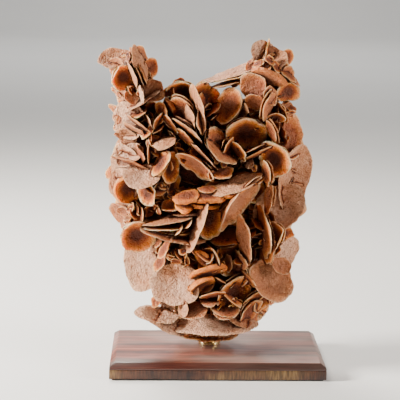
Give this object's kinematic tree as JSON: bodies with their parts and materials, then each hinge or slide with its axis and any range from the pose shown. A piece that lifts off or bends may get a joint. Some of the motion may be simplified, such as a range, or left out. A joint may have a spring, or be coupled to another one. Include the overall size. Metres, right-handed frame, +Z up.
{
  "type": "gypsum sand rose on stand",
  "caption": "Upright desert rose: a cluster of thin sandy gypsum blades with a horn at each side, held on a chamfered wooden display base by a brass pin and collar.",
  "frame": {"origin": "middle of the underside of the base's felt pad, on the surface that the stand rests on", "axes": "+Z up through the stone, +X to the right along the front of the base, +Y to the back; the front is -Y"},
  "size_m": [0.2021, 0.1135, 0.2887],
  "materials": {
    "gypsum": "sandy, slightly translucent at the thin rims",
    "brass": "polished",
    "red_wood": "satin oiled",
    "brown_wood": "satin oiled end grain",
    "felt": "matt"
  },
  "bodies": {
    "root": {"sand_rose": "gypsum", "mounting_pin": "brass", "collar": "brass", "flange": "brass", "upper_board": "red_wood", "lower_board": "brown_wood", "felt_pad": "felt"}
  },
  "joints": []
}
